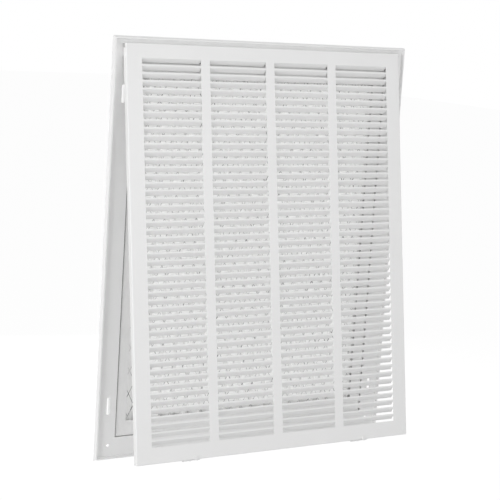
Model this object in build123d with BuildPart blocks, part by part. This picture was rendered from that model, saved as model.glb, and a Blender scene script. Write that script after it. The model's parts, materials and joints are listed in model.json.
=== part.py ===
# Return air filter grille for a 20 x 25 inch wall opening.
# A stamped frame screws to the wall and holds a one inch filter in its collar.
# A louvred door hangs from the frame's top and is kept shut by two slide latches.
# Millimetres. X runs to the right, Y into the wall and Z up.
# The origin is the centre of the opening, in the plane of the wall.
from build123d import *
from math import ceil, cos, floor, hypot, radians, sin
import os

os.makedirs("parts", exist_ok=True)

# Frame
frame_width = 571.5
frame_height = 698.5
frame_sheet = 0.8
flange_width = 37.0
rim_height = 6.0
rim_bevel = 2.2
rim_crest = 2.2
rim_draft = 0.6
hem_depth = 6.0

# Screw holes in the flange
slot_length = 30.0
slot_width = 5.5
slot_inset = 22.5
slot_rise = 92.0
corner_hole_radius = 2.5
corner_hole_inset = 24.5

# Collar behind the flange
collar_depth = 28.0
collar_sheet = 0.8
collar_lip = 8.0

# Filter
filter_thickness = 19.0
filter_setback = 0.9
filter_side_gap = 1.25
filter_top_gap = 2.5
card_sheet = 0.8
card_side_border = 20.0
card_end_border = 28.0
mesh_sheet = 0.8
mesh_strand = 2.4
mesh_cell_width = 66.0
mesh_cell_height = 120.0
mesh_hidden_edge = 6.0
media_sheet = 1.6
pleat_count = 19

# Door
door_side_margin = 18.25
door_top_margin = 11.2
door_bottom_margin = 15.3
door_sheet = 0.8
door_return = 9.0
door_top_return = 6.0
door_bend_radius = 1.6
door_shut_gap = 0.5
corner_relief = 8.0
pivot_below_top = 4.2
pivot_behind_face = 4.8
open_angle = 9.5

# Louvres
louvre_columns = 4
louvre_pitch = 12.5
louvre_top_margin = 23.0
louvre_least_bottom_margin = 20.0
louvre_side_margin = 27.9
mullion_width = 16.8
window_height = 9.9
tab_reach = 9.2
tab_angle = 41.5

# Hinges
ear_sheet = 1.2
ear_radius = 3.7
ear_gap = 0.3
ear_drop = 16.0
foot_width = 12.0
foot_drop = 4.0
pin_radius = 1.75
pin_clearance = 0.05
pin_head_radius = 3.2
pin_head_height = 1.0
pin_head_gap = 0.1

# Slide latches
latch_inset = 101.0
latch_travel = 8.0
slide_sheet = 1.0
slide_length = 29.0
slide_gap = 0.3
grip_width = 5.0
grip_height = 6.5
grip_offset = 6.5
tongue_width = 9.0
tongue_depth = 1.7
rivet_spacing = 13.5
rivet_radius = 1.25
rivet_clearance = 0.1
rivet_head_radius = 2.4
rivet_head_height = 0.8

# Keepers for the latches
keeper_sheet = 0.8
keeper_width = 10.0
keeper_side_gap = 1.0
keeper_front_gap = 0.4
keeper_lap = 1.1
keeper_foot = 3.0
keeper_foot_gap = 1.1

# The opening between the collar's walls, the hem that they are welded in, and the flange
opening_width = frame_width - 2 * flange_width
opening_height = frame_height - 2 * flange_width
hem_inset = flange_width - collar_sheet
flange_front = -frame_sheet

# The door is drawn from its hinge axis, with X across, Y up and Z out of its face
door_width = frame_width - 2 * door_side_margin
door_height = frame_height - door_top_margin - door_bottom_margin
door_top = pivot_below_top
door_bottom = door_top - door_height
door_middle = (door_top + door_bottom) / 2
face_front = pivot_behind_face
face_back = face_front - door_sheet
return_back = face_front - door_return
pivot_y = flange_front - door_shut_gap + return_back
pivot_z = frame_height / 2 - door_top_margin - pivot_below_top
flange_level = pivot_y - flange_front
swing = radians(open_angle)
door_plane = Plane(
    origin=(0, pivot_y, pivot_z), x_dir=(1, 0, 0), z_dir=(0, -cos(swing), sin(swing))
)
shut_plane = Plane(origin=(0, pivot_y, pivot_z), x_dir=(1, 0, 0), z_dir=(0, -1, 0))
wall_plane = Plane(origin=(0, 0, 0), x_dir=(1, 0, 0), z_dir=(0, -1, 0))
out_of_door = Axis(door_plane.origin, door_plane.z_dir)


def side_plane(plane, x):
    """Plane across the width at x, with its X up and its Y towards the front."""
    return Plane(
        origin=plane.from_local_coords((x, 0, 0)), x_dir=plane.y_dir, z_dir=plane.x_dir
    )


# Frame: one stamping with a raised rim, a flat flange and a hem round the opening
low = -frame_height / 2
left = -frame_width / 2
slot_x = frame_width / 2 - slot_inset
slot_z = frame_height / 2 - slot_rise
corner_hole_x = frame_width / 2 - corner_hole_inset
corner_hole_z = frame_height / 2 - corner_hole_inset

with BuildPart() as frame_face:
    with BuildLine(wall_plane) as frame_edge:
        Polyline((left, low), (-left, low), (-left, -low), (left, -low), close=True)
    with BuildSketch(Plane(origin=(0, 0, low), x_dir=(0, 0, 1), z_dir=(1, 0, 0))):
        with BuildLine():
            Polyline(
                (0, 0),
                (rim_bevel, rim_height),
                (rim_bevel + rim_crest, rim_height),
                (rim_bevel + rim_crest + rim_draft, frame_sheet),
                (hem_inset, frame_sheet),
                (hem_inset, -hem_depth),
            )
            offset(amount=frame_sheet, side=Side.RIGHT, kind=Kind.INTERSECTION)
        make_face()
    sweep(path=frame_edge.wires()[0], transition=Transition.RIGHT)
    with BuildSketch(wall_plane):
        with GridLocations(2 * slot_x, 2 * slot_z, 2, 2):
            SlotOverall(slot_length, slot_width, rotation=90)
        with GridLocations(2 * corner_hole_x, 2 * corner_hole_z, 2, 2):
            Circle(corner_hole_radius)
    extrude(amount=frame_sheet, mode=Mode.SUBTRACT)
frame_face.part.label = "frame_face"
export_step(frame_face.part, "parts/frame_face.step")


# Collar: four folded strips welded inside the hem, with a lip that stops the filter
collar_x = opening_width / 2
collar_z = opening_height / 2


def collar_strip(name, outwards, half_span, wall_length, lip_length):
    """Strip of the collar on the side that outwards points to."""
    along = Vector(outwards).cross(Vector(0, 1, 0))
    with BuildPart() as strip:
        with BuildSketch(Plane(origin=(0, 0, 0), x_dir=outwards, z_dir=along)):
            with Locations((half_span, flange_front)):
                Rectangle(
                    collar_sheet, collar_depth - flange_front, align=(Align.MIN, Align.MIN)
                )
        extrude(amount=wall_length / 2, both=True)
        with BuildSketch(Plane(origin=(0, 0, 0), x_dir=outwards, z_dir=along)):
            with Locations((half_span, collar_depth)):
                Rectangle(collar_lip, collar_sheet, align=(Align.MAX, Align.MAX))
        extrude(amount=lip_length / 2, both=True)
    strip.part.label = name
    export_step(strip.part, f"parts/{name}.step")


side_length = 2 * (collar_z + collar_sheet)
collar_strip("collar_left", (-1, 0, 0), collar_x, side_length, 2 * collar_z)
collar_strip("collar_right", (1, 0, 0), collar_x, side_length, 2 * collar_z)
end_length = 2 * collar_x
collar_strip("collar_top", (0, 0, 1), collar_z, end_length, end_length - 2 * collar_lip)
collar_strip("collar_bottom", (0, 0, -1), collar_z, end_length, end_length - 2 * collar_lip)


# Filter: a card frame in two trays, a pleated sheet and an expanded mesh before it
filter_width = opening_width - 2 * filter_side_gap
filter_height = opening_height - filter_top_gap
filter_middle = -filter_top_gap / 2
filter_plane = Plane(
    origin=(0, filter_setback, filter_middle), x_dir=(1, 0, 0), z_dir=(0, -1, 0)
)
airway_width = filter_width - 2 * card_side_border
airway_height = filter_height - 2 * card_end_border
nest_width = filter_width - 2 * card_sheet
nest_height = filter_height - 2 * card_sheet
media_width = nest_width - 2 * card_sheet
media_height = nest_height - 2 * card_sheet
mesh_back = card_sheet + mesh_sheet
back_card = filter_thickness - card_sheet

with BuildPart() as filter_card_front:
    with BuildSketch(filter_plane):
        Rectangle(filter_width, filter_height)
        Rectangle(airway_width, airway_height, mode=Mode.SUBTRACT)
    extrude(amount=-card_sheet)
    with BuildSketch(filter_plane):
        Rectangle(filter_width, filter_height)
        Rectangle(nest_width, nest_height, mode=Mode.SUBTRACT)
    extrude(amount=-back_card)
filter_card_front.part.label = "filter_card_front"
export_step(filter_card_front.part, "parts/filter_card_front.step")

with BuildPart() as filter_card_back:
    with BuildSketch(filter_plane.offset(-back_card)):
        Rectangle(filter_width, filter_height)
        Rectangle(airway_width, airway_height, mode=Mode.SUBTRACT)
    extrude(amount=-card_sheet)
    with BuildSketch(filter_plane.offset(-mesh_back)):
        Rectangle(nest_width, nest_height)
        Rectangle(media_width, media_height, mode=Mode.SUBTRACT)
    extrude(amount=mesh_back - back_card)
filter_card_back.part.label = "filter_card_back"
export_step(filter_card_back.part, "parts/filter_card_back.step")

# Each diamond is a cell of the lattice, drawn in by half a strand on every side
half_cell_width = mesh_cell_width / 2
half_cell_height = mesh_cell_height / 2
cell_inradius = half_cell_width * half_cell_height / hypot(half_cell_width, half_cell_height)
open_share = 1 - mesh_strand / 2 / cell_inradius
cells_across = ceil(airway_width / mesh_cell_width) + 1
cells_up = ceil(airway_height / mesh_cell_height) + 1

with BuildPart() as filter_mesh:
    with BuildSketch(filter_plane.offset(-card_sheet)):
        Rectangle(nest_width, nest_height)
    extrude(amount=-mesh_sheet)
    with BuildSketch(filter_plane.offset(-card_sheet)):
        for fewer in (0, 1):
            across = cells_across - fewer
            up = cells_up - fewer
            with GridLocations(mesh_cell_width, mesh_cell_height, across, up):
                Polygon(
                    (half_cell_width * open_share, 0),
                    (0, half_cell_height * open_share),
                    (-half_cell_width * open_share, 0),
                    (0, -half_cell_height * open_share),
                )
        Rectangle(
            airway_width + 2 * mesh_hidden_edge,
            airway_height + 2 * mesh_hidden_edge,
            mode=Mode.INTERSECT,
        )
    extrude(amount=-mesh_sheet, mode=Mode.SUBTRACT)
filter_mesh.part.label = "filter_mesh"
export_step(filter_mesh.part, "parts/filter_mesh.step")

# The pleats run up the filter and fill its depth from the mesh to the back card
half_pleat = media_width / pleat_count / 2
pleat_depth = back_card - mesh_back
slope_sheet = media_sheet * hypot(half_pleat, pleat_depth) / half_pleat
pleat_front = []
pleat_back = []
for fold in range(2 * pleat_count + 1):
    fold_x = fold * half_pleat - media_width / 2
    fold_y = (fold % 2) * (pleat_depth - slope_sheet)
    pleat_front.append((fold_x, fold_y))
    pleat_back.append((fold_x, fold_y + slope_sheet))

with BuildPart() as filter_media:
    base = Plane(origin=(0, filter_setback + mesh_back, filter_middle), z_dir=(0, 0, 1))
    with BuildSketch(base):
        with BuildLine():
            Polyline(*pleat_front, *reversed(pleat_back), close=True)
        make_face()
    extrude(amount=media_height / 2, both=True)
filter_media.part.label = "filter_media"
export_step(filter_media.part, "parts/filter_media.step")


# Door: one stamped tray with columns of windows, each with its tab bent inwards
mullions_width = (louvre_columns - 1) * mullion_width
window_width = (door_width - 2 * louvre_side_margin - mullions_width) / louvre_columns
column_pitch = window_width + mullion_width
rung_height = louvre_pitch - window_height
louvre_room = door_height - louvre_top_margin - louvre_least_bottom_margin
louvre_rows = floor((louvre_room + rung_height) / louvre_pitch)
field_height = louvre_rows * louvre_pitch - rung_height
field_middle = door_top - louvre_top_margin - field_height / 2
return_inside = door_width / 2 - door_sheet
bottom_plane = Plane(
    origin=door_plane.from_local_coords((0, door_bottom, 0)),
    x_dir=door_plane.x_dir,
    z_dir=-door_plane.y_dir,
)
latch_x = door_width / 2 - latch_inset
rivet_shift = latch_travel / 2
# The rivets stand close behind the bend inside the door, which keeps them off the keepers
inner_bend_radius = door_bend_radius - door_sheet
rivet_line = face_back - inner_bend_radius - rivet_clearance - rivet_head_radius
rivet_spots = []
for side in (-1, 1):
    for step in (-1, 1):
        rivet_x = side * latch_x + step * rivet_spacing / 2 + rivet_shift
        rivet_spots.append((rivet_x, rivet_line))

# One louvre is the strip of sheet above a window, and the tab bent in from its lower edge
bend = Vector(0, face_front)
tab = Vector(-cos(radians(tab_angle)), -sin(radians(tab_angle))) * tab_reach

with BuildSketch() as louvre:
    with BuildLine():
        Polyline((rung_height, face_front), bend, bend + tab)
        offset(amount=door_sheet, side=Side.LEFT, kind=Kind.INTERSECTION)
    make_face()

with BuildPart() as louvres:
    for column in range(louvre_columns):
        column_left = (column - louvre_columns / 2) * column_pitch + mullion_width / 2
        with BuildSketch(side_plane(door_plane, column_left)):
            with Locations((field_middle + window_height / 2, 0)):
                with GridLocations(louvre_pitch, 1, louvre_rows, 1):
                    add(louvre.sketch)
    extrude(amount=window_width)

with BuildPart() as door_panel:
    with BuildSketch(door_plane.offset(face_front)):
        with Locations((0, door_middle)):
            Rectangle(door_width, door_height)
    extrude(amount=-door_return)
    with BuildSketch(door_plane.offset(face_back)):
        with Locations((0, door_middle)):
            Rectangle(2 * return_inside, door_height - 2 * door_sheet)
    extrude(amount=return_back - face_back, mode=Mode.SUBTRACT)
    inner_edges = door_panel.faces().sort_by(out_of_door)[-2].edges()
    fillet(inner_edges, radius=inner_bend_radius)
    front_edges = door_panel.faces().sort_by(out_of_door)[-1].edges()
    fillet(front_edges, radius=door_bend_radius)
    # The top return is shallow and stops short of the sides, to clear the hinges
    with BuildSketch(door_plane.offset(return_back)):
        with Locations((0, door_top)):
            Rectangle(2 * return_inside, 2 * door_sheet)
    extrude(amount=door_return - door_top_return, mode=Mode.SUBTRACT)
    with BuildSketch(door_plane.offset(return_back)):
        for side in (-1, 1):
            with Locations((side * (return_inside - corner_relief / 2), door_top)):
                Rectangle(corner_relief, 4 * door_sheet)
    extrude(amount=door_return - door_bend_radius, mode=Mode.SUBTRACT)
    # The side returns are rounded about the hinge axis, and drilled for the pins
    with BuildSketch(side_plane(door_plane, 0)):
        Rectangle(door_top, -return_back, align=(Align.MIN, Align.MAX))
        Circle(-return_back, mode=Mode.SUBTRACT)
    extrude(amount=door_width / 2, both=True, mode=Mode.SUBTRACT)
    with BuildSketch(side_plane(door_plane, 0)):
        Circle(pin_radius + pin_clearance)
    extrude(amount=door_width / 2, both=True, mode=Mode.SUBTRACT)
    with BuildSketch(bottom_plane):
        with Locations(*rivet_spots):
            Circle(rivet_radius)
    extrude(amount=-door_sheet, mode=Mode.SUBTRACT)
    with BuildSketch(door_plane.offset(face_front)):
        with Locations((0, field_middle)):
            with GridLocations(column_pitch, 1, louvre_columns, 1):
                Rectangle(window_width, field_height)
    extrude(amount=-door_sheet, mode=Mode.SUBTRACT)
    add(louvres.part)
door_panel.part.label = "door_panel"
export_step(door_panel.part, "parts/door_panel.step")


# Hinges: a bracket on the flange at each side, with a riveted pin through the door
ear_outside = return_inside - ear_gap
ear_inside = ear_outside - ear_sheet
pin_outside = door_width / 2 + pin_head_gap

for side, turn in (("left", -1), ("right", 1)):
    with BuildPart() as hinge_bracket:
        with BuildSketch(side_plane(shut_plane, turn * ear_outside)):
            with BuildSketch(mode=Mode.PRIVATE) as ear:
                Circle(ear_radius)
                with Locations((-ear_drop, flange_level)):
                    Rectangle(ear_drop - foot_drop, ear_sheet, align=(Align.MIN, Align.MIN))
            make_hull(ear.sketch.edges())
            Circle(pin_radius, mode=Mode.SUBTRACT)
        extrude(amount=-turn * ear_sheet)
        with BuildSketch(side_plane(shut_plane, turn * ear_inside)):
            with Locations((-ear_drop, flange_level)):
                Rectangle(ear_drop - foot_drop, ear_sheet, align=(Align.MIN, Align.MIN))
        extrude(amount=-turn * foot_width)
    hinge_bracket.part.label = f"hinge_bracket_{side}"
    export_step(hinge_bracket.part, f"parts/hinge_bracket_{side}.step")

    with BuildPart() as hinge_pin:
        with BuildSketch(side_plane(shut_plane, turn * (ear_inside - pin_head_height))):
            Circle(pin_head_radius)
        extrude(amount=turn * pin_head_height)
        with BuildSketch(side_plane(shut_plane, turn * ear_inside)):
            Circle(pin_radius)
        extrude(amount=turn * (pin_outside - ear_inside))
        with BuildSketch(side_plane(shut_plane, turn * pin_outside)):
            Circle(pin_head_radius)
        extrude(amount=turn * pin_head_height)
    hinge_pin.part.label = f"hinge_pin_{side}"
    export_step(hinge_pin.part, f"parts/hinge_pin_{side}.step")


# Slide latches under the door's bottom edge, each with its rivets and its keeper
slide_top = door_bottom - slide_gap
tongue_end = slide_top - slide_sheet - tongue_depth
keeper_top = tongue_end + keeper_lap
keeper_foot_top = tongue_end - keeper_foot_gap
keeper_base = keeper_foot_top - keeper_foot
keeper_back = return_back + slide_sheet + keeper_front_gap
keeper_front = keeper_back + keeper_sheet
head_level = slide_gap + slide_sheet + rivet_clearance

for side, turn in (("left", -1), ("right", 1)):
    middle = turn * latch_x
    with BuildPart() as latch_slide:
        with BuildSketch(bottom_plane.offset(slide_gap)):
            with Locations((middle, return_back)):
                Rectangle(slide_length, door_return, align=(Align.CENTER, Align.MIN))
            with Locations((middle + grip_offset, face_front)):
                Rectangle(grip_width, slide_gap + slide_sheet, align=(Align.CENTER, Align.MIN))
            with Locations((middle, rivet_line)):
                with GridLocations(rivet_spacing, 1, 2, 1):
                    SlotCenterToCenter(
                        latch_travel, 2 * (rivet_radius + rivet_clearance), mode=Mode.SUBTRACT
                    )
        extrude(amount=slide_sheet)
        with BuildSketch(door_plane.offset(face_front + slide_gap)):
            with Locations((middle + grip_offset, slide_top - slide_sheet)):
                Rectangle(
                    grip_width,
                    grip_height + slide_gap + slide_sheet,
                    align=(Align.CENTER, Align.MIN),
                )
        extrude(amount=slide_sheet)
        with BuildSketch(door_plane.offset(return_back)):
            with Locations((middle - slide_length / 2, slide_top)):
                Rectangle(
                    tongue_width,
                    slide_sheet + tongue_depth,
                    align=(Align.MIN, Align.MAX),
                )
        extrude(amount=slide_sheet)
    latch_slide.part.label = f"latch_slide_{side}"
    export_step(latch_slide.part, f"parts/latch_slide_{side}.step")

    with BuildPart() as latch_rivets:
        for spot in rivet_spots:
            if spot[0] * turn > 0:
                with BuildSketch(bottom_plane.offset(-door_sheet - rivet_head_height)):
                    with Locations(spot):
                        Circle(rivet_head_radius)
                extrude(amount=rivet_head_height)
                with BuildSketch(bottom_plane.offset(-door_sheet)):
                    with Locations(spot):
                        Circle(rivet_radius)
                extrude(amount=door_sheet + head_level)
                with BuildSketch(bottom_plane.offset(head_level)):
                    with Locations(spot):
                        Circle(rivet_head_radius)
                extrude(amount=rivet_head_height)
    latch_rivets.part.label = f"latch_rivets_{side}"
    export_step(latch_rivets.part, f"parts/latch_rivets_{side}.step")

    with BuildPart() as latch_keeper:
        keeper_x = middle - slide_length / 2 + tongue_width + keeper_side_gap
        with BuildSketch(side_plane(shut_plane, keeper_x)):
            with BuildLine():
                Polyline(
                    (keeper_base, flange_level),
                    (keeper_foot_top, flange_level),
                    (keeper_foot_top, flange_level + keeper_sheet),
                    (keeper_base + keeper_sheet, flange_level + keeper_sheet),
                    (keeper_base + keeper_sheet, keeper_back),
                    (keeper_top, keeper_back),
                    (keeper_top, keeper_front),
                    (keeper_base, keeper_front),
                    close=True,
                )
            make_face()
        extrude(amount=keeper_width)
    latch_keeper.part.label = f"latch_keeper_{side}"
    export_step(latch_keeper.part, f"parts/latch_keeper_{side}.step")
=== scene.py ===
import json
import math

import bmesh
import bpy
from mathutils import Matrix, Vector


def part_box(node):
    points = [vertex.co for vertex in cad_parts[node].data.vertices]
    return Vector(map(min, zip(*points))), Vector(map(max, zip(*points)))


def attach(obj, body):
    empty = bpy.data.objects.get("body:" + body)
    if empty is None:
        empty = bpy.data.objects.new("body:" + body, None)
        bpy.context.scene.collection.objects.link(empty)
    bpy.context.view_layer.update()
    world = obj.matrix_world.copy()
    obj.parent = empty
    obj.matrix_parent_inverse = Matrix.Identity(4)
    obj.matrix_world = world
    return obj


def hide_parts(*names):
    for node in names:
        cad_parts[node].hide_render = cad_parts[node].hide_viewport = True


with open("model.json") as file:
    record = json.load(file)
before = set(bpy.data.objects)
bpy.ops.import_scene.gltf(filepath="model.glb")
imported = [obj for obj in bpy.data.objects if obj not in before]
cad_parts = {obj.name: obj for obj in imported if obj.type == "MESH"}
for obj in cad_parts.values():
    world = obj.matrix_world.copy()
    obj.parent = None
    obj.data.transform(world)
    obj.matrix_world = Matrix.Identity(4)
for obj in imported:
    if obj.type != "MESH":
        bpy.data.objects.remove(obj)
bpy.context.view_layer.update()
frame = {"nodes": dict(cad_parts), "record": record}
nodes = frame["nodes"]

# Node helpers for the materials


def new_material(name):
    """An empty node material with its Principled shader and object coordinates."""
    material = bpy.data.materials.new(name)
    material.use_nodes = True
    tree = material.node_tree
    shader = tree.nodes["Principled BSDF"]
    coordinates = tree.nodes.new("ShaderNodeTexCoord")
    return material, tree, shader, coordinates.outputs["Object"]


def noise(tree, where, scale, detail=3.0, roughness=0.5, stretch=None):
    """A noise texture of that many cells to the metre."""
    texture = tree.nodes.new("ShaderNodeTexNoise")
    texture.inputs["Scale"].default_value = scale
    texture.inputs["Detail"].default_value = detail
    texture.inputs["Roughness"].default_value = roughness
    if stretch is not None:
        mapping = tree.nodes.new("ShaderNodeMapping")
        mapping.inputs["Scale"].default_value = stretch
        tree.links.new(where, mapping.inputs["Vector"])
        where = mapping.outputs["Vector"]
    tree.links.new(where, texture.inputs["Vector"])
    return texture.outputs["Fac"]


def ramp(tree, value, stops):
    """A colour ramp through (position, colour) stops."""
    node = tree.nodes.new("ShaderNodeValToRGB")
    elements = node.color_ramp.elements
    while len(elements) < len(stops):
        elements.new(0.5)
    for element, (position, colour) in zip(elements, stops):
        element.position = position
        element.color = (*colour, 1.0)
    tree.links.new(value, node.inputs["Fac"])
    return node.outputs["Color"]


def spread(tree, value, low, high):
    """The value, from 0 to 1, mapped to low to high."""
    node = tree.nodes.new("ShaderNodeMapRange")
    node.inputs["To Min"].default_value = low
    node.inputs["To Max"].default_value = high
    tree.links.new(value, node.inputs["Value"])
    return node.outputs["Result"]


def bump(tree, height, distance, strength, over=None):
    """A bump of that many metres, over another one where given."""
    node = tree.nodes.new("ShaderNodeBump")
    node.inputs["Strength"].default_value = strength
    node.inputs["Distance"].default_value = distance
    tree.links.new(height, node.inputs["Height"])
    if over is not None:
        tree.links.new(over, node.inputs["Normal"])
    return node.outputs["Normal"]


def grey(level):
    """The neutral colour of that level."""
    return (level, level, level)


# Materials


def white_enamel():
    """Satin white baked enamel on sheet steel, with the faint orange peel of a sprayed coat."""
    material, tree, shader, place = new_material("white_enamel")
    cloud = noise(tree, place, scale=9.0, detail=4.0, roughness=0.6)
    tone = ramp(tree, cloud, [(0.3, (0.862, 0.862, 0.860)), (0.7, (0.880, 0.880, 0.879))])
    tree.links.new(tone, shader.inputs["Base Color"])
    gloss = spread(tree, noise(tree, place, scale=60.0), low=0.36, high=0.48)
    tree.links.new(gloss, shader.inputs["Roughness"])
    shader.inputs["Specular IOR Level"].default_value = 0.4
    peel = bump(tree, noise(tree, place, scale=420.0, detail=2.0), distance=0.00004, strength=0.5)
    wave = noise(tree, place, scale=14.0, detail=1.0)
    ripple = bump(tree, wave, distance=0.0003, strength=0.35, over=peel)
    tree.links.new(ripple, shader.inputs["Normal"])
    return material


def zinc_plate():
    """Zinc-plated steel of the rivets and pins, slightly cloudy."""
    material, tree, shader, place = new_material("zinc_plate")
    cloud = noise(tree, place, scale=500.0, detail=4.0)
    tone = ramp(tree, cloud, [(0.3, grey(0.58)), (0.7, (0.72, 0.72, 0.71))])
    tree.links.new(tone, shader.inputs["Base Color"])
    shader.inputs["Metallic"].default_value = 0.9
    gloss = spread(tree, noise(tree, place, scale=900.0, detail=2.0), low=0.28, high=0.45)
    tree.links.new(gloss, shader.inputs["Roughness"])
    grain = bump(tree, noise(tree, place, scale=1500.0, detail=2.0), distance=0.00003, strength=0.4)
    tree.links.new(grain, shader.inputs["Normal"])
    return material


def filter_board():
    """White clay-coated board with faint fibres, with painted shade greying its cut edges and side
    walls.
    """
    material, tree, shader, place = new_material("filter_board")
    fibres = noise(tree, place, scale=260.0, detail=5.0, roughness=0.65, stretch=(1.0, 1.0, 0.25))
    tone = ramp(tree, fibres, [(0.3, (0.82, 0.82, 0.817)), (0.7, (0.87, 0.87, 0.867))])
    facing = tree.nodes.new("ShaderNodeNewGeometry")
    axes = tree.nodes.new("ShaderNodeSeparateXYZ")
    tree.links.new(facing.outputs["True Normal"], axes.inputs["Vector"])
    forward_share = tree.nodes.new("ShaderNodeMath")
    forward_share.operation = "ABSOLUTE"
    tree.links.new(axes.outputs["Y"], forward_share.inputs[0])
    # Painted shade: faces that turn sideways, the tray's side walls and cut edges down in the gaps,
    # are darkened to a fifth of the board's tone.
    painted_side_shade = ramp(tree, forward_share.outputs[0], [(0.1, grey(0.2)), (0.3, grey(1.0))])
    side_shaded_tone = tree.nodes.new("ShaderNodeVectorMath")
    side_shaded_tone.operation = "MULTIPLY"
    tree.links.new(tone, side_shaded_tone.inputs[0])
    tree.links.new(painted_side_shade, side_shaded_tone.inputs[1])
    tree.links.new(side_shaded_tone.outputs["Vector"], shader.inputs["Base Color"])
    shader.inputs["Roughness"].default_value = 0.72
    tree.links.new(bump(tree, fibres, distance=0.00008, strength=0.5), shader.inputs["Normal"])
    return material


def filter_cloth():
    """White non-woven synthetic fibre, matted and fuzzy, that lets much light through."""
    material, tree, shader, place = new_material("filter_cloth")
    fibres = noise(tree, place, scale=700.0, detail=6.0, roughness=0.7, stretch=(1.0, 1.0, 0.35))
    clump = noise(tree, place, scale=70.0)
    tone = ramp(tree, fibres, [(0.32, (0.86, 0.86, 0.857)), (0.68, (0.93, 0.93, 0.928))])
    tree.links.new(tone, shader.inputs["Base Color"])
    shader.inputs["Roughness"].default_value = 0.95
    shader.inputs["Specular IOR Level"].default_value = 0.15
    shader.inputs["Sheen Weight"].default_value = 0.25
    shader.inputs["Sheen Roughness"].default_value = 0.6
    fuzz = bump(tree, fibres, distance=0.0004, strength=0.7)
    soft = bump(tree, clump, distance=0.0008, strength=0.4, over=fuzz)
    tree.links.new(soft, shader.inputs["Normal"])
    through = tree.nodes.new("ShaderNodeBsdfTranslucent")
    tree.links.new(tone, through.inputs["Color"])
    tree.links.new(soft, through.inputs["Normal"])
    both = tree.nodes.new("ShaderNodeMixShader")
    both.inputs["Fac"].default_value = 0.7
    tree.links.new(shader.outputs["BSDF"], both.inputs[1])
    tree.links.new(through.outputs["BSDF"], both.inputs[2])
    tree.links.new(both.outputs["Shader"], tree.nodes["Material Output"].inputs["Surface"])
    return material


def strand_steel():
    """Expanded steel, bright in some places and dull in others."""
    material, tree, shader, place = new_material("strand_steel")
    patches = noise(tree, place, scale=38.0, detail=4.0, roughness=0.6)
    tone = ramp(
        tree,
        patches,
        [(0.34, (0.08, 0.08, 0.083)), (0.42, (0.42, 0.42, 0.425)), (0.60, grey(0.72))],
    )
    tree.links.new(tone, shader.inputs["Base Color"])
    shader.inputs["Metallic"].default_value = 0.4
    gloss = spread(tree, noise(tree, place, scale=500.0, detail=2.0), low=0.35, high=0.55)
    tree.links.new(gloss, shader.inputs["Roughness"])
    grain = bump(tree, noise(tree, place, scale=1400.0, detail=2.0), distance=0.00005, strength=0.5)
    tree.links.new(grain, shader.inputs["Normal"])
    return material


finishes = {
    "white_paint": white_enamel(),
    "zinc_steel": zinc_plate(),
    "filter_card": filter_board(),
    "filter_media": filter_cloth(),
    "filter_mesh": strand_steel(),
}
for part in frame["record"]["subparts"]:
    mesh = nodes[part["node"]].data
    mesh.materials.clear()
    mesh.materials.append(finishes[part["material_slot"]])

# The filter's own pieces


def piece_of(shape, name, finish):
    """The object of a bmesh, with outward normals and one finish."""
    bmesh.ops.recalc_face_normals(shape, faces=shape.faces)
    mesh = bpy.data.meshes.new(name)
    shape.to_mesh(mesh)
    shape.free()
    mesh.materials.append(finishes[finish])
    piece = bpy.data.objects.new(name, mesh)
    bpy.context.scene.collection.objects.link(piece)
    return piece


def bridge(shape, ring, following):
    """The band of faces between two closed rings of vertices."""
    for k in range(len(ring)):
        n = (k + 1) % len(ring)
        shape.faces.new((ring[k], ring[n], following[n], following[k]))


# The expanded mesh at its measured pitch, with one crossing where the photograph shows it
CELL_WIDTH = 0.02005
CELL_HEIGHT = 0.0391
CROSSING_X = 0.01484
CROSSING_Z = -0.00536
STRAND = 0.0008


def expanded_mesh():
    """Diamonds tiled over the filter, each a ring of four strand halves."""
    low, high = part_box("filter_mesh")
    half_w = CELL_WIDTH / 2
    half_h = CELL_HEIGHT / 2
    centre_to_side = half_w * half_h / math.hypot(half_w, half_h)
    inset = 1 - STRAND / 2 / centre_to_side
    corners = [(half_w, 0), (0, half_h), (-half_w, 0), (0, -half_h)]
    sections = ((1, low.y), (inset, low.y), (inset, high.y), (1, high.y))
    first_column = math.ceil((low.x - CROSSING_X) / half_w) + 1
    last_column = math.floor((high.x - CROSSING_X) / half_w) - 1
    first_row = math.ceil((low.z - CROSSING_Z) / half_h) + 1
    last_row = math.floor((high.z - CROSSING_Z) / half_h) - 1
    cells = bmesh.new()
    for column in range(first_column, last_column + 1):
        for row in range(first_row, last_row + 1):
            if (column + row) % 2 == 0:
                continue
            x = CROSSING_X + column * half_w
            z = CROSSING_Z + row * half_h
            rings = [
                [cells.verts.new((x + a * share, y, z + b * share)) for a, b in corners]
                for share, y in sections
            ]
            for ring, following in zip(rings, rings[1:]):
                bridge(cells, ring, following)
    bmesh.ops.remove_doubles(cells, verts=cells.verts, dist=1e-6)
    piece = piece_of(cells, "expanded_mesh", "filter_mesh")
    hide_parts("filter_mesh")
    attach(piece, "frame")


expanded_mesh()

# The filter's front tray: rounded folds, borders fitted to the photograph, and play round it
BOARD = 0.0008
FOLD_RADIUS = 0.0015
FOLD_STEPS = 4
TRAY_PLAY = 0.0008
LEFT_BORDER = 0.0175
RIGHT_BORDER = 0.0218
END_BORDER = 0.026


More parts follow.
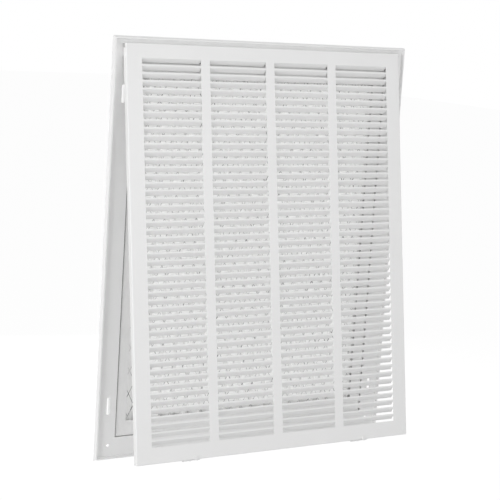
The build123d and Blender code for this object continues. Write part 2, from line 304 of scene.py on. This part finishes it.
def filter_tray():
    """The front tray of the filter: one folded section, mitred round the four corners."""
    low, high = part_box("filter_card_front")
    low += Vector((TRAY_PLAY, 0, TRAY_PLAY))
    high -= Vector((TRAY_PLAY, 0, TRAY_PLAY))
    outer = []
    inner = []
    for step in range(FOLD_STEPS + 1):
        angle = math.pi / 2 * step / FOLD_STEPS
        for path, radius in ((outer, FOLD_RADIUS), (inner, FOLD_RADIUS - BOARD)):
            inwards = FOLD_RADIUS - radius * math.sin(angle)
            depth = FOLD_RADIUS - radius * math.cos(angle)
            path.append((inwards, inwards, low.y + depth))
    section = outer + [(0, 0, high.y), (BOARD, BOARD, high.y)] + inner[::-1]
    tray = bmesh.new()
    rings = []
    for side_x, side_z in ((-1, -1), (1, -1), (1, 1), (-1, 1)):
        corner_x = low.x if side_x < 0 else high.x
        corner_z = low.z if side_z < 0 else high.z
        border = LEFT_BORDER if side_x < 0 else RIGHT_BORDER
        path = [(border, END_BORDER, low.y)] + section + [(border, END_BORDER, low.y + BOARD)]
        rings.append(
            [tray.verts.new((corner_x - side_x * a, y, corner_z - side_z * b)) for a, b, y in path]
        )
    for ring, following in zip(rings, rings[1:] + rings[:1]):
        bridge(tray, ring, following)
    piece = piece_of(tray, "filter_tray", "filter_card")
    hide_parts("filter_card_front")
    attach(piece, "frame")


filter_tray()

# Camera, fitted to the photograph's straight edges, with its lens and sensor in millimetres
LENS = 108.2
SENSOR_WIDTH = 36.0
CAMERA_PLACE = (-1.33718, -2.15835, 0.41901)
YAW = math.radians(31.63)
PITCH = math.radians(-9.48)
ROLL = math.radians(3.60)
forward = Vector(
    (math.sin(YAW) * math.cos(PITCH), math.cos(YAW) * math.cos(PITCH), math.sin(PITCH))
)
level = Vector((math.cos(YAW), -math.sin(YAW), 0))
above = level.cross(forward)
right = level * math.cos(ROLL) + above * math.sin(ROLL)
up = above * math.cos(ROLL) - level * math.sin(ROLL)
camera_data = bpy.data.cameras.new("camera")
camera_data.sensor_width = SENSOR_WIDTH
camera_data.lens = LENS
camera_data.clip_start = 0.05
camera_data.clip_end = 60.0
camera = bpy.data.objects.new("camera", camera_data)
bpy.context.scene.collection.objects.link(camera)
turn = Matrix((right, up, -forward)).transposed().to_4x4()
camera.matrix_world = Matrix.Translation(CAMERA_PLACE) @ turn
bpy.context.scene.camera = camera

# Floor, world and lamps
FLOOR_LEVEL = -0.56
FLOOR_SIDE = 9
FLOOR_FRONT = -9
FLOOR_BACK = 14
FLOOR_TONE = 0.80
GLOW_SHARE = 0.9
GLOW_STRENGTH = 1.05
WORLD_LIGHT = 0.38
WHITE = (1.0, 1.0, 1.0, 1.0)


def for_eyes(tree):
    """1 for camera, glossy and transmission rays, and 0 for the rays that carry light."""
    path = tree.nodes.new("ShaderNodeLightPath")
    seen = path.outputs["Is Camera Ray"]
    for ray in ("Is Glossy Ray", "Is Transmission Ray"):
        either = tree.nodes.new("ShaderNodeMath")
        either.operation = "MAXIMUM"
        tree.links.new(seen, either.inputs[0])
        tree.links.new(path.outputs[ray], either.inputs[1])
        seen = either.outputs[0]
    return seen


def mixed(tree, share, first, second):
    """The output of a mix of two shaders."""
    node = tree.nodes.new("ShaderNodeMixShader")
    tree.links.new(share, node.inputs["Fac"])
    tree.links.new(first, node.inputs[1])
    tree.links.new(second, node.inputs[2])
    return node.outputs["Shader"]


floor_mesh = bpy.data.meshes.new("floor")
floor_mesh.from_pydata(
    [
        (-FLOOR_SIDE, FLOOR_FRONT, FLOOR_LEVEL),
        (FLOOR_SIDE, FLOOR_FRONT, FLOOR_LEVEL),
        (FLOOR_SIDE, FLOOR_BACK, FLOOR_LEVEL),
        (-FLOOR_SIDE, FLOOR_BACK, FLOOR_LEVEL),
    ],
    [],
    [(0, 1, 2, 3)],
)
floor = bpy.data.objects.new("floor", floor_mesh)
bpy.context.scene.collection.objects.link(floor)
floor_paint, floor_tree, shader, _ = new_material("floor_paint")
shader.inputs["Base Color"].default_value = (*grey(FLOOR_TONE), 1.0)
shader.inputs["Roughness"].default_value = 0.9
glow = floor_tree.nodes.new("ShaderNodeEmission")
glow.inputs["Color"].default_value = WHITE
glow.inputs["Strength"].default_value = GLOW_STRENGTH
shown = floor_tree.nodes.new("ShaderNodeMath")
shown.operation = "MULTIPLY"
shown.inputs[1].default_value = GLOW_SHARE
floor_tree.links.new(for_eyes(floor_tree), shown.inputs[0])
floor_surface = mixed(
    floor_tree, shown.outputs[0], shader.outputs["BSDF"], glow.outputs["Emission"]
)
floor_tree.links.new(floor_surface, floor_tree.nodes["Material Output"].inputs["Surface"])
floor_mesh.materials.append(floor_paint)

world = bpy.data.worlds.new("studio")
bpy.context.scene.world = world
world.use_nodes = True
world_tree = world.node_tree
light = world_tree.nodes["Background"]
light.inputs["Color"].default_value = WHITE
light.inputs["Strength"].default_value = WORLD_LIGHT
backdrop = world_tree.nodes.new("ShaderNodeBackground")
backdrop.inputs["Color"].default_value = WHITE
backdrop.inputs["Strength"].default_value = 1.0
world_surface = mixed(
    world_tree, for_eyes(world_tree), light.outputs["Background"], backdrop.outputs["Background"]
)
world_tree.links.new(world_surface, world_tree.nodes["World Output"].inputs["Surface"])


def soft_light(name, place, width, height, watts):
    """A rectangular lamp at that place, turned to face the origin."""
    lamp = bpy.data.lights.new(name, "AREA")
    lamp.shape = "RECTANGLE"
    lamp.size = width
    lamp.size_y = height
    lamp.energy = watts
    holder = bpy.data.objects.new(name, lamp)
    bpy.context.scene.collection.objects.link(holder)
    holder.location = place
    holder.rotation_mode = "QUATERNION"
    holder.rotation_quaternion = (-Vector(place)).to_track_quat("-Z", "Y")


soft_light("key_light", place=(0.1, -1.45, 0.5), width=1.8, height=0.3, watts=6.2)
soft_light("fill_light", place=(-2.3, -0.75, 0.3), width=0.8, height=1.2, watts=22.0)
soft_light("top_light", place=(0, -0.5, 2.4), width=1.6, height=1.6, watts=12.0)
soft_light("backdrop_light", place=(0.4, 1.6, 0.2), width=1.2, height=1.2, watts=16.0)

# White sheets close together light each other, which takes many bounces
scene = bpy.context.scene
scene.cycles.max_bounces = 24
scene.cycles.diffuse_bounces = 16
scene.view_settings.view_transform = "Standard"
